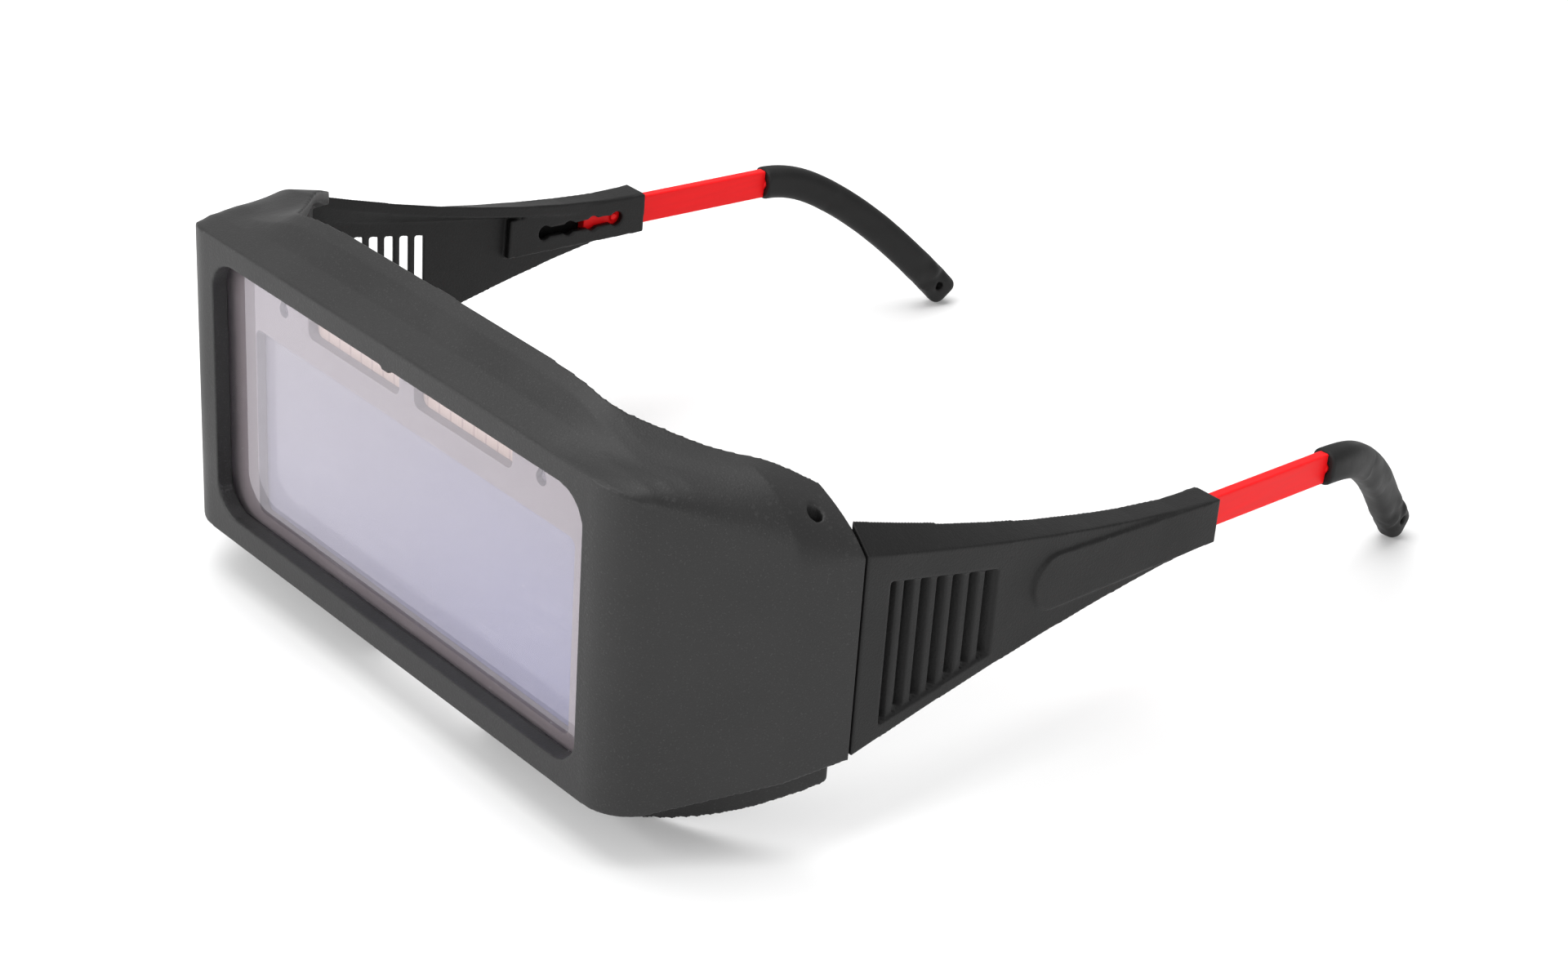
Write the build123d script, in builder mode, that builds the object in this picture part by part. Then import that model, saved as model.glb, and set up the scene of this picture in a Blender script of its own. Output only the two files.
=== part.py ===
from build123d import *
import os

# Solar auto-darkening welding goggles: a one-piece front frame that holds a filter
# cassette, and two folding temples with adjustable sliders and rubber ear hooks.
# Millimetres. +X is the wearer's left, the temples run along +Y, +Z is up.
# Depths are counted from the front face. Each piece is then moved forward, so that the
# origin is on the resting plane, under the middle of the whole pair of goggles.

# ---------------------------------------------------------------- overall sizes
FACE_WIDTH = 116.0  # flat front face, before its corners are rounded
FACE_HEIGHT = 57.6  # flat front face
FACE_BASE = 10.0  # the cheek skirt hangs this far below the front face
WALL = 1.8  # moulded wall of the frame
FACE_WALL = 3.2  # the front wall, round the window
CORNER_RADIUS = 9.0  # upright corners between the face and the sides
FRAME_DEPTH = 33.8  # front face to the rear edge of the side panels

# ---------------------------------------------------------------- side panels
SIDE_BEND_DEPTH = 23.8  # where each side panel bends
SIDE_BEND_OUT = 15.0  # how far outside the face's edge the bend is
HINGE_EDGE_OUT = 18.9  # how far outside the face's edge the rear edge is
CREASE_DROP_BEND = 13.8  # crease below the face's top, at the bend
CREASE_DROP_REAR = 13.2  # crease below the face's top, at the rear edge
SHOULDER_OUT_BEND = 9.6  # rounded shoulder outside the face's edge, at the bend
SHOULDER_DROP_BEND = 4.3  # shoulder below the face's top, at the bend
SHOULDER_OUT = 12.4  # the same two at the rear edge
SHOULDER_DROP = 7.9
LOFT_LEAD = 1.0  # the shell is drawn from this far in front, then trimmed flat
CORNER_FACET = 0.8  # the facet's size where it starts, on the front face
FLOOR_FLAT_DEPTH = 5.0  # the floor is level this far back, then rises
FLOOR_RISE = 8.0  # floor's rise at the rear edge

# ---------------------------------------------------------------- brow
BROW_DEPTH = 11.8  # front face to the rear edge of the brow, in the middle
BROW_HALF_FLAT = 38.5  # half the straight middle part of the brow's rear edge
BROW_TOP = (  # distance from the middle, and rise per mm of depth there
    (0.0, 0.53),
    (20.0, 0.52),
    (34.0, 0.475),
    (41.5, 0.355),
    (46.6, 0.17),
    (51.0, 0.035),
    (56.0, -0.05),
)
BROW_INNER_OUT_BEND = 3.0  # top's next point outside the face's edge, at the bend
BROW_INNER_DROP_BEND = 1.4  # that point below the face's top, at the bend
BROW_INNER_OUT = 6.6  # the same two at the rear edge
BROW_INNER_DROP = 5.2
BROW_TURN = ((46.8, 15.6), (53.0, 20.9), (59.4, 27.0))  # plan of the brow's rear edge
BROW_END_OUT = 8.5  # where the brow meets the rear edge, outside the face's edge
BROW_SWELL = ((5.4, 3.4), (8.9, 9.4))  # the top is flatter in front, then steeper

# ---------------------------------------------------------------- window in the face
OPENING_WIDTH = 101.4
OPENING_HEIGHT = 48.6
OPENING_RADIUS = 6.0
OPENING_BASE = 4.8  # above the face's lower edge
TAB_WIDTH = 2.2  # small snap tab on the opening's upper edge
TAB_HEIGHT = 0.5

# ---------------------------------------------------------------- cheek skirt
SKIRT_THICKNESS = 2.0
NOSE_HALF_WIDTH = 14.5
NOSE_DEPTH = 9.8  # the nose gap starts this far behind the front face
NOSE_RADIUS = 0.6
SKIRT_NOSE_DEPTH = 12.6  # depth of the skirt beside the nose
SKIRT_REAR_OUT = 14.0  # skirt's rear end, outside the face's edge
SKIRT_LEVEL_DEPTH = 15.0  # the skirt's lower edge is level this far back, then rises
SKIRT_REAR_RISE = 13.4  # skirt's lower edge rises by this to the rear

# ---------------------------------------------------------------- cassette
CASSETTE_WIDTH = 108.0
CASSETTE_HEIGHT = 50.8
CASSETTE_WALL = 1.2
CASSETTE_FRONT_WALL = 1.8
CASSETTE_REAR_WALL = 1.0
COVER_THICKNESS = 1.0
FILTER_HALF_WIDTH = 44.0
FILTER_HEIGHT = 35.6
FILTER_BASE = 6.1  # window's lower edge, above the face's lower edge
WINDOW_RADIUS = 1.5
PANE_MARGIN = 1.0  # panes reach this far past their window
UV_IR_THICKNESS = 1.1
CELL_THICKNESS = 0.7
STACK_GAP = 0.05
SOLAR_WIDTH = 26.0
SOLAR_HEIGHT = 6.4
SOLAR_GAP = 4.0  # between the two solar windows
SOLAR_BASE = 46.4
SENSOR_OUT = 35.3
SENSOR_HEIGHT = 48.4
SENSOR_RADIUS = 1.3
SENSOR_TAIL = 2.9  # the sensor's hole is a teardrop, pointed above by this
BOARD_THICKNESS = 0.8
RETAINER_THICKNESS = 1.6
RETAINER_BORDER = 6.0
RETAINER_TRIM = 1.0  # the retaining frame is lower than the cassette by this
FRONT_COVER_TRIM = 4.0  # keeps the front cover clear of the frame's rounded corners
INNER_COVER_TRIM = 4.0  # the inner cover is smaller than the cassette by this
RAIL_THICKNESS = 1.6
RAIL_HEIGHT = 26.0
RAIL_LIP = 0.9
FIT = 0.15  # loose clearance of the flat parts in their seats

# ---------------------------------------------------------------- hinge
PIN_OUT = 11.8  # pin's axis, outside the face's edge
PIN_INSET = 4.8  # pin's axis, in front of the side panel's rear edge
PIN_RADIUS = 1.2
PIN_RUNNING_CLEARANCE = 0.08
PIN_PRESS_CLEARANCE = 0.01
PIN_RECESS = 3.0  # the pin's top lies this far down its hole
KNUCKLE_RADIUS = 2.9
KNUCKLE_BASE = 17.0  # above the face's lower edge
KNUCKLE_HEIGHT = 19.0
BOSS_RADIUS = 3.4
HINGE_CLEARANCE = 0.3
WEB_LENGTH = 6.5  # where the knuckle's web runs out on the plate

# ---------------------------------------------------------------- temples
ARM_THICKNESS = 2.2
ARM_END_DEPTH = 114.0  # front face to the mouth of the sleeve
ARM_END_OUT = 20.3  # outer face at the sleeve, outside the face's edge
SLEEVE_HEIGHT = 8.2
SLEEVE_WIDTH = 4.7
ARM_STATIONS = 8  # cross-sections between the hinge edge and the sleeve
ARM_TOP_CURVE = 1.4  # how early the top line falls
ARM_BOTTOM_CURVE = 1.45  # how early the lower line rises
ARM_HEEL = 0.6  # lower edge above the frame's, at the hinge
FLANGE_WIDTH = 4.3
FLANGE_RISE = 4.5
SLEEVE_BASE = 21.4  # underside of the sleeve's mouth, above the face's lower edge
VENT_START = 39.6
VENT_SLOTS = 7
VENT_PITCH = 3.5
VENT_SLOT_WIDTH = 2.0
VENT_LOWER_MARGIN = 2.6
VENT_UPPER_MARGIN = 4.8
VENT_RECESS = 0.5  # the slats lie this far below the outer face
VENT_LEAN = 0.55  # the slats lean forward by this per mm inward
HOUSING_LENGTH = 33.0
HOUSING_HEIGHT = 8.0
HOUSING_WALL = 1.4
DETENTS = 4
DETENT_PITCH = 5.8
DETENT_RADIUS = 1.5
DETENT_SLOT_WIDTH = 1.9
DETENT_END = 7.0  # last detent, in front of the sleeve's mouth
BOSS_RELIEF = 0.5  # the raised oval on the outer face
BOSS_RELIEF_LENGTH = 43.0
RELIEF_RISE = 5.0  # middle of the oval's round end, above the sleeve's base

# ---------------------------------------------------------------- sliders and hooks
SLIDER_HEIGHT = 5.8
SLIDER_THICKNESS = 2.0
SLIDER_EXPOSED = 32.6
SLIDER_INSERTED = 14.0
SLIDER_CLEARANCE = 0.15
SLIDER_INSET = 2.8  # slider's axis inside the outer face of the sleeve
SLIDER_DROP = 1.8  # fall along the exposed length
SLIDER_TURN_IN = 1.0  # inward drift along the exposed length
PEG_RADIUS = 0.75
PEG_LENGTH = 0.7
HOOK_HEIGHT = 6.6
HOOK_WIDTH = 5.0
HOOK_EDGE_RADIUS = 2.0
HOOK_REACH = 44.0  # along the temple, from the slider's end to the tip
HOOK_FALL = 31.7
HOOK_TURN_IN = 12.7
HOOK_END = 2.0  # the hook's rounded end reaches this far past its course
CORE_RADIUS = 1.2  # the slider's core inside the rubber
CORE_CLEARANCE = 0.05
CORE_SHORT = 0.12  # share of the hook's course that the core leaves free
CORD_HOLE_RADIUS = 0.9
HOLE_SHARE = 0.93  # place of the cord hole along the hook

OVERALL_LENGTH = ARM_END_DEPTH + SLIDER_EXPOSED + HOOK_REACH + HOOK_END
TO_ORIGIN = Location((0, -OVERALL_LENGTH / 2, 0))
HALF_FACE = FACE_WIDTH / 2
FACE_TOP = FACE_BASE + FACE_HEIGHT
PIN_X = HALF_FACE + PIN_OUT
PIN_DEPTH = FRAME_DEPTH - PIN_INSET
RELIEF_Z = FACE_BASE + SLEEVE_BASE + RELIEF_RISE
KNUCKLE_BOTTOM = FACE_BASE + KNUCKLE_BASE
KNUCKLE_TOP = KNUCKLE_BOTTOM + KNUCKLE_HEIGHT

os.makedirs("parts", exist_ok=True)


# ================================================================ frame shell
def side_out(depth):
    """Distance of the side panel outside the face's edge, at a depth."""
    if depth <= SIDE_BEND_DEPTH:
        return SIDE_BEND_OUT * depth / SIDE_BEND_DEPTH
    share = (depth - SIDE_BEND_DEPTH) / (FRAME_DEPTH - SIDE_BEND_DEPTH)
    return SIDE_BEND_OUT + (HINGE_EDGE_OUT - SIDE_BEND_OUT) * share


def crease_drop(depth):
    """Drop of the side crease below the face's top, at a depth."""
    if depth <= SIDE_BEND_DEPTH:
        return CORNER_FACET + (CREASE_DROP_BEND - CORNER_FACET) * depth / SIDE_BEND_DEPTH
    share = (depth - SIDE_BEND_DEPTH) / (FRAME_DEPTH - SIDE_BEND_DEPTH)
    return CREASE_DROP_BEND + (CREASE_DROP_REAR - CREASE_DROP_BEND) * share


def floor_height(depth):
    """Height of the frame's underside, at a depth."""
    rising = max(0.0, depth - FLOOR_FLAT_DEPTH)
    return FACE_BASE + FLOOR_RISE * rising / (FRAME_DEPTH - FLOOR_FLAT_DEPTH)


def swell(depth):
    """Depth as the brow's rise counts it: slow in front, then steep."""
    marks = ((0.0, 0.0),) + BROW_SWELL + ((BROW_DEPTH, BROW_DEPTH),)
    for (start, low), (end, high) in zip(marks, marks[1:]):
        if depth <= end:
            return low + (high - low) * (depth - start) / (end - start)
    return depth


def top_point(depth, inset, out_bend, drop_bend, out_rear, drop_rear):
    """A point of the top's line that starts at the face's corner and flares outward."""
    start = CORNER_FACET if out_bend > SIDE_BEND_OUT / 2 else 2 * CORNER_FACET
    if depth <= SIDE_BEND_DEPTH:
        share = depth / SIDE_BEND_DEPTH
        out, drop = (out_bend + start) * share - start, drop_bend * share
    else:
        share = (depth - SIDE_BEND_DEPTH) / (FRAME_DEPTH - SIDE_BEND_DEPTH)
        out = out_bend + (out_rear - out_bend) * share
        drop = drop_bend + (drop_rear - drop_bend) * share
    return (HALF_FACE + out - inset, FACE_TOP - drop - inset)


def shell_section(depth, inset):
    """Upright cross-section of the frame at a depth, drawn as (x, z), moved in by inset."""
    side = HALF_FACE + side_out(depth) - inset
    crease_z = FACE_TOP - crease_drop(depth) - inset * 0.5
    bottom = floor_height(depth) + inset
    shoulder = top_point(
        depth, inset, SHOULDER_OUT_BEND, SHOULDER_DROP_BEND, SHOULDER_OUT, SHOULDER_DROP
    )
    inner = top_point(
        depth, inset, BROW_INNER_OUT_BEND, BROW_INNER_DROP_BEND, BROW_INNER_OUT, BROW_INNER_DROP
    )
    scale = (HALF_FACE - 2 * inset) / HALF_FACE
    middle = [(x * scale, FACE_TOP + rise * swell(depth) - inset) for x, rise in BROW_TOP]
    right = [(side, crease_z), shoulder, inner] + middle[:0:-1]
    left = [(-x, z) for x, z in reversed(right)]
    with BuildSketch(Plane.XZ.offset(-depth)) as section:
        with BuildLine():
            Spline(*(right + [middle[0]] + left))
            Polyline((-side, crease_z), (-side, bottom), (side, bottom), (side, crease_z))
        make_face()
    return section.sketch


def plan_outline(inset, front, rear):
    """Plan of the frame with its rounded front corners, moved in by inset."""
    with BuildSketch() as plan:
        with BuildLine():
            Polyline(
                (-HALF_FACE + inset, front),
                (HALF_FACE - inset, front),
                (HALF_FACE + SIDE_BEND_OUT - inset, SIDE_BEND_DEPTH),
                (HALF_FACE + HINGE_EDGE_OUT + 2 - inset, rear),
                (-HALF_FACE - HINGE_EDGE_OUT - 2 + inset, rear),
                (-HALF_FACE - SIDE_BEND_OUT + inset, SIDE_BEND_DEPTH),
                close=True,
            )
        make_face()
        fillet(plan.vertices().group_by(Axis.Y)[0], radius=CORNER_RADIUS - inset)
    return plan.sketch


def shell_solid(inset, front, rear):
    """The frame's outer form, or its cavity when inset is above zero."""
    swells = [depth for depth, counted in BROW_SWELL]
    stations = sorted([-LOFT_LEAD, *swells, BROW_DEPTH, SIDE_BEND_DEPTH, rear])
    with BuildPart() as shell:
        for depth in stations:
            add(shell_section(depth, inset))
        loft(ruled=True)
        add(plan_outline(inset, front, rear + 1))
        extrude(amount=FACE_TOP * 2, mode=Mode.INTERSECT)
    return shell.part


def brow_cut():
    """Plan of the space behind the brow, open to the rear."""
    far = HALF_FACE + HINGE_EDGE_OUT + 5
    end = (HALF_FACE + BROW_END_OUT, FRAME_DEPTH + LOFT_LEAD)
    turn = (BROW_HALF_FLAT, BROW_DEPTH)
    with BuildSketch(Plane.XY.offset(FACE_BASE + FACE_HEIGHT / 2)) as plan:
        with BuildLine():
            Spline(turn, *BROW_TURN, end, tangents=[(1, 0), (1, 1)])
            Polyline(end, (HALF_FACE + BROW_END_OUT, far), (0, far), (0, BROW_DEPTH), turn)
        make_face()
        mirror(about=Plane.YZ)
    return plan.sketch


def skirt_line():
    """The cheek skirt's course in plan, from the nose to the rear of the side."""
    nose = (NOSE_HALF_WIDTH, SKIRT_NOSE_DEPTH)
    turn = (HALF_FACE / 2, SKIRT_NOSE_DEPTH)
    rear = (HALF_FACE + SKIRT_REAR_OUT, FRAME_DEPTH)
    with BuildLine() as line:
        Line(nose, turn)
        TangentArc(turn, rear, tangent=(1, 0))
    return line.line


def face_space():
    """Plan of the space for the wearer's face, behind the skirt."""
    with BuildSketch() as plan:
        with BuildLine() as edge:
            course = add(skirt_line())
            end = edge.line @ 1
            start = edge.line @ 0
            Polyline(end, (end.X, FRAME_DEPTH + 5), (0, FRAME_DEPTH + 5))
            Line((0, FRAME_DEPTH + 5), (0, start.Y))
            Line((0, start.Y), start)
        make_face()
        mirror(about=Plane.YZ)
    return plan.sketch


def skirt_band():
    """Plan of the skirt's wall, both sides."""
    with BuildSketch() as plan:
        with BuildLine():
            inner = skirt_line()
            outer = offset(inner, amount=SKIRT_THICKNESS, side=Side.RIGHT, closed=True)
            add(outer)
        make_face()
        mirror(about=Plane.YZ)
    return plan.sketch


def side_prism(points):
    """A wedge across the whole frame, from its (y, z) outline."""
    with BuildPart() as wedge:
        with BuildSketch(Plane.YZ):
            with BuildLine():
                Polyline(*points, close=True)
            make_face()
        extrude(amount=HALF_FACE + HINGE_EDGE_OUT, both=True)
    return wedge.part


def skirt_solid():
    """The cheek skirt, from its sloping lower edge up into the frame's floor."""
    top = FACE_BASE + WALL * 0.8
    above = FACE_TOP
    with BuildPart() as skirt:
        add(skirt_band())
        extrude(amount=FACE_BASE + FLOOR_RISE + WALL)
        add(
            side_prism(
                [
                    (0, top),
                    (FLOOR_FLAT_DEPTH, top),
                    (FRAME_DEPTH, top + FLOOR_RISE),
                    (FRAME_DEPTH, above),
                    (0, above),
                ]
            ),
            mode=Mode.SUBTRACT,
        )
        # the lower edge sweeps up to the rear
        with BuildSketch(Plane.YZ):
            with BuildLine():
                Polyline(
                    (SKIRT_LEVEL_DEPTH, 0),
                    (FRAME_DEPTH, SKIRT_REAR_RISE),
                    (FRAME_DEPTH + 1, SKIRT_REAR_RISE),
                    (FRAME_DEPTH + 1, 0),
                    close=True,
                )
            make_face()
        extrude(amount=HALF_FACE + HINGE_EDGE_OUT, both=True, mode=Mode.SUBTRACT)
    return skirt.part


def hinge_bosses(outer):
    """Upper and lower lugs round each hinge pin, inside the frame's outer form."""
    levels = [
        (FACE_BASE, KNUCKLE_BOTTOM - HINGE_CLEARANCE),
        (KNUCKLE_TOP + HINGE_CLEARANCE, FACE_TOP),
    ]
    with BuildPart() as bosses:
        for low, high in levels:
            with BuildSketch(Plane.XY.offset(low)):
                with Locations((PIN_X, PIN_DEPTH), (-PIN_X, PIN_DEPTH)):
                    Circle(BOSS_RADIUS)
                for side in (1, -1):
                    with Locations((side * (PIN_X + BOSS_RADIUS / 2), PIN_DEPTH - BOSS_RADIUS / 6)):
                        Rectangle(BOSS_RADIUS + WALL, BOSS_RADIUS * 5 / 3)
            extrude(amount=high - low)
        add(outer, mode=Mode.INTERSECT)
    return bosses.part


# ================================================================ seats in the frame
SEAT_MIDDLE = FACE_BASE + OPENING_BASE + OPENING_HEIGHT / 2
COVER_FRONT = FACE_WALL + STACK_GAP
CASSETTE_FRONT = COVER_FRONT + COVER_THICKNESS + STACK_GAP
PANE_FRONT = CASSETTE_FRONT + CASSETTE_FRONT_WALL + STACK_GAP
LCD_FRONT = PANE_FRONT + UV_IR_THICKNESS + STACK_GAP
LCD_REAR = LCD_FRONT + CELL_THICKNESS + STACK_GAP
REAR_WALL_FRONT = LCD_REAR + CELL_THICKNESS + STACK_GAP
CASSETTE_REAR = REAR_WALL_FRONT + CASSETTE_REAR_WALL
INNER_COVER_FRONT = CASSETTE_REAR + STACK_GAP
RETAINER_FRONT = INNER_COVER_FRONT + COVER_THICKNESS + STACK_GAP
RETAINER_REAR = RETAINER_FRONT + RETAINER_THICKNESS
FILTER_MIDDLE = FACE_BASE + FILTER_BASE + FILTER_HEIGHT / 2


def upright(depth):
    """Plane facing the front, at a depth; its sketches are drawn as (x, z)."""
    return Plane.XZ.offset(-depth)


def make_front_frame():
    """The moulded frame: shell, brow, window, skirt, nose gap, bosses and rails."""
    outer = shell_solid(0, 0, FRAME_DEPTH)
    cavity = shell_solid(WALL, FACE_WALL, FRAME_DEPTH + 1)
    rail_length = RETAINER_REAR + FIT + RAIL_LIP - FACE_WALL
    rail_x = CASSETTE_WIDTH / 2 + FIT + RAIL_THICKNESS / 2
    lip_x = CASSETTE_WIDTH / 2 + FIT - RAIL_LIP / 2
    with BuildPart() as frame:
        add(outer)
        add(cavity, mode=Mode.SUBTRACT)
        add(brow_cut())
        extrude(amount=FACE_HEIGHT, mode=Mode.SUBTRACT)
        add(face_space())
        extrude(amount=FACE_BASE + FACE_HEIGHT / 2, mode=Mode.SUBTRACT)
        add(skirt_solid())
        # the nose gap
        with BuildSketch() as nose:
            with Locations((0, NOSE_DEPTH + FRAME_DEPTH / 2)):
                Rectangle(2 * NOSE_HALF_WIDTH, FRAME_DEPTH)
            fillet(nose.vertices().group_by(Axis.Y)[0], radius=NOSE_RADIUS)
        extrude(amount=FACE_BASE + WALL * 3, mode=Mode.SUBTRACT)
        # the window
        with BuildSketch(Plane.XZ):
            with Locations((0, SEAT_MIDDLE)):
                RectangleRounded(OPENING_WIDTH, OPENING_HEIGHT, OPENING_RADIUS)
            with Locations((0, SEAT_MIDDLE + OPENING_HEIGHT / 2)):
                Rectangle(TAB_WIDTH, 2 * TAB_HEIGHT, mode=Mode.SUBTRACT)
        extrude(amount=-FACE_WALL * 2, mode=Mode.SUBTRACT)
        # the hinge bosses
        add(hinge_bosses(outer))
        # the snap rails for the cassette
        with BuildSketch(upright(FACE_WALL)):
            with Locations((rail_x, SEAT_MIDDLE), (-rail_x, SEAT_MIDDLE)):
                Rectangle(RAIL_THICKNESS, RAIL_HEIGHT)
        extrude(amount=-rail_length)
        with BuildSketch(upright(RETAINER_REAR + FIT)):
            with Locations((lip_x, SEAT_MIDDLE), (-lip_x, SEAT_MIDDLE)):
                Rectangle(RAIL_LIP, RAIL_HEIGHT)
        extrude(amount=-RAIL_LIP)
        # the holes for the hinge pins
        with BuildSketch(Plane.XY.offset(floor_height(PIN_DEPTH))):
            with Locations((PIN_X, PIN_DEPTH), (-PIN_X, PIN_DEPTH)):
                Circle(PIN_RADIUS + PIN_PRESS_CLEARANCE)
        extrude(amount=FACE_TOP, mode=Mode.SUBTRACT)
    return frame.part


with BuildPart() as front_frame:
    add(make_front_frame())
front_frame.part.label = "front_frame"
export_step(front_frame.part.moved(TO_ORIGIN), "parts/front_frame.step")


# ================================================================ hinge pins
def pin_top():
    """Height of the pin's recessed top, below the rounded shoulder."""
    return FACE_TOP - SHOULDER_DROP * PIN_DEPTH / FRAME_DEPTH - PIN_RECESS


def pin_bottom():
    """Height of the pin's lower end, flush with the lower boss."""
    return floor_height(PIN_DEPTH) + STACK_GAP


with BuildPart() as hinge_pin_left:
    with BuildSketch(Plane.XY.offset(pin_bottom())):
        with Locations((PIN_X, PIN_DEPTH)):
            Circle(PIN_RADIUS)
    extrude(amount=pin_top() - pin_bottom())
    chamfer(hinge_pin_left.edges().filter_by(GeomType.CIRCLE), length=PIN_RADIUS / 5)
hinge_pin_left.part.label = "hinge_pin_left"
export_step(hinge_pin_left.part.moved(TO_ORIGIN), "parts/hinge_pin_left.step")


# ================================================================ covers and cassette
def plate(width, height, middle, radius, front, thickness):
    """A flat upright plate with rounded corners."""
    with BuildPart() as flat:
        with BuildSketch(upright(front)):
            with Locations((0, middle)):
                RectangleRounded(width, height, radius)
        extrude(amount=-thickness)
    return flat.part


def pane(front, thickness):
    """A pane of the filter stack, wider than its window by the margin."""
    width = 2 * (FILTER_HALF_WIDTH + PANE_MARGIN)
    height = FILTER_HEIGHT + 2 * PANE_MARGIN
    return plate(width, height, FILTER_MIDDLE, WINDOW_RADIUS / 2, front, thickness)


SOLAR_MIDDLE_X = (SOLAR_GAP + SOLAR_WIDTH) / 2
SOLAR_MIDDLE_Z = FACE_BASE + SOLAR_BASE + SOLAR_HEIGHT / 2
SENSOR_Z = FACE_BASE + SENSOR_HEIGHT
BOARD_FRONT = PANE_FRONT + CELL_THICKNESS / 2 + STACK_GAP
BOARD_TOP = SEAT_MIDDLE + CASSETTE_HEIGHT / 2 - CASSETTE_WALL - STACK_GAP
BOARD_BOTTOM = FILTER_MIDDLE + FILTER_HEIGHT / 2 + PANE_MARGIN + STACK_GAP

with BuildPart() as front_cover_plate:
    add(
        plate(
            CASSETTE_WIDTH - FRONT_COVER_TRIM,
            CASSETTE_HEIGHT - 2 * FIT,
            SEAT_MIDDLE,
            CORNER_RADIUS / 4,
            COVER_FRONT,
            COVER_THICKNESS,
        )
    )
front_cover_plate.part.label = "front_cover_plate"
export_step(front_cover_plate.part.moved(TO_ORIGIN), "parts/front_cover_plate.step")

with BuildPart() as cassette_front:
    with BuildSketch(upright(CASSETTE_FRONT)):
        with Locations((0, SEAT_MIDDLE)):
            RectangleRounded(CASSETTE_WIDTH, CASSETTE_HEIGHT, CORNER_RADIUS / 4)
    extrude(amount=CASSETTE_FRONT - REAR_WALL_FRONT)
    with BuildSketch(upright(CASSETTE_FRONT + CASSETTE_FRONT_WALL)):
        with Locations((0, SEAT_MIDDLE)):
            Rectangle(CASSETTE_WIDTH - 2 * CASSETTE_WALL, CASSETTE_HEIGHT - 2 * CASSETTE_WALL)
    extrude(amount=CASSETTE_FRONT - REAR_WALL_FRONT, mode=Mode.SUBTRACT)
    with BuildSketch(upright(CASSETTE_FRONT)):
        with Locations((0, FILTER_MIDDLE)):
            RectangleRounded(2 * FILTER_HALF_WIDTH, FILTER_HEIGHT, WINDOW_RADIUS)
        with Locations((SOLAR_MIDDLE_X, SOLAR_MIDDLE_Z), (-SOLAR_MIDDLE_X, SOLAR_MIDDLE_Z)):
            RectangleRounded(SOLAR_WIDTH, SOLAR_HEIGHT, WINDOW_RADIUS)
        for sensor_x in (SENSOR_OUT, -SENSOR_OUT):
            with Locations((sensor_x, SENSOR_Z)):
                Circle(SENSOR_RADIUS)
            with BuildLine():
                Polyline(
                    (sensor_x - SENSOR_RADIUS * 0.9, SENSOR_Z + SENSOR_RADIUS * 0.4),
                    (sensor_x, SENSOR_Z + SENSOR_TAIL),
                    (sensor_x + SENSOR_RADIUS * 0.9, SENSOR_Z + SENSOR_RADIUS * 0.4),
                    close=True,
                )
            make_face()
    extrude(amount=-CASSETTE_FRONT_WALL, mode=Mode.SUBTRACT)
cassette_front.part.label = "cassette_front"
export_step(cassette_front.part.moved(TO_ORIGIN), "parts/cassette_front.step")

with BuildPart() as cassette_rear:
    with BuildSketch(upright(REAR_WALL_FRONT)):
        with Locations((0, SEAT_MIDDLE)):
            RectangleRounded(CASSETTE_WIDTH, CASSETTE_HEIGHT, CORNER_RADIUS / 4)
        with Locations((0, FILTER_MIDDLE)):
            RectangleRounded(
                2 * FILTER_HALF_WIDTH, FILTER_HEIGHT, WINDOW_RADIUS, mode=Mode.SUBTRACT
            )
    extrude(amount=-CASSETTE_REAR_WALL)
cassette_rear.part.label = "cassette_rear"
export_step(cassette_rear.part.moved(TO_ORIGIN), "parts/cassette_rear.step")

with BuildPart() as uv_ir_filter:
    add(pane(PANE_FRONT, UV_IR_THICKNESS))
uv_ir_filter.part.label = "uv_ir_filter"
export_step(uv_ir_filter.part.moved(TO_ORIGIN), "parts/uv_ir_filter.step")

with BuildPart() as lcd_cell_front:
    add(pane(LCD_FRONT, CELL_THICKNESS))
lcd_cell_front.part.label = "lcd_cell_front"
export_step(lcd_cell_front.part.moved(TO_ORIGIN), "parts/lcd_cell_front.step")

with BuildPart() as lcd_cell_rear:
    add(pane(LCD_REAR, CELL_THICKNESS))
lcd_cell_rear.part.label = "lcd_cell_rear"
export_step(lcd_cell_rear.part.moved(TO_ORIGIN), "parts/lcd_cell_rear.step")

with BuildPart() as circuit_board:
    with BuildSketch(upright(BOARD_FRONT)):
        with Locations((0, (BOARD_TOP + BOARD_BOTTOM) / 2)):
            Rectangle(2 * FILTER_HALF_WIDTH, BOARD_TOP - BOARD_BOTTOM)
    extrude(amount=-BOARD_THICKNESS)
circuit_board.part.label = "circuit_board"
export_step(circuit_board.part.moved(TO_ORIGIN), "parts/circuit_board.step")

with BuildPart() as board_components:
    component_front = BOARD_FRONT + BOARD_THICKNESS
    component_depth = REAR_WALL_FRONT - component_front - STACK_GAP
    component_row = (BOARD_TOP + BOARD_BOTTOM) / 2
    with BuildSketch(upright(component_front)):
        with Locations((0, component_row)):
            Rectangle(SOLAR_HEIGHT, SOLAR_HEIGHT)
        with Locations((-SOLAR_MIDDLE_X, component_row), (SOLAR_MIDDLE_X, component_row)):
            Rectangle(SOLAR_HEIGHT / 2, SOLAR_HEIGHT * 2 / 3)
        with Locations((-SENSOR_OUT, component_row), (SENSOR_OUT, component_row)):
            Circle(SOLAR_HEIGHT / 3)
    extrude(amount=-component_depth)
board_components.part.label = "board_components"
export_step(board_components.part.moved(TO_ORIGIN), "parts/board_components.step")

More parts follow.
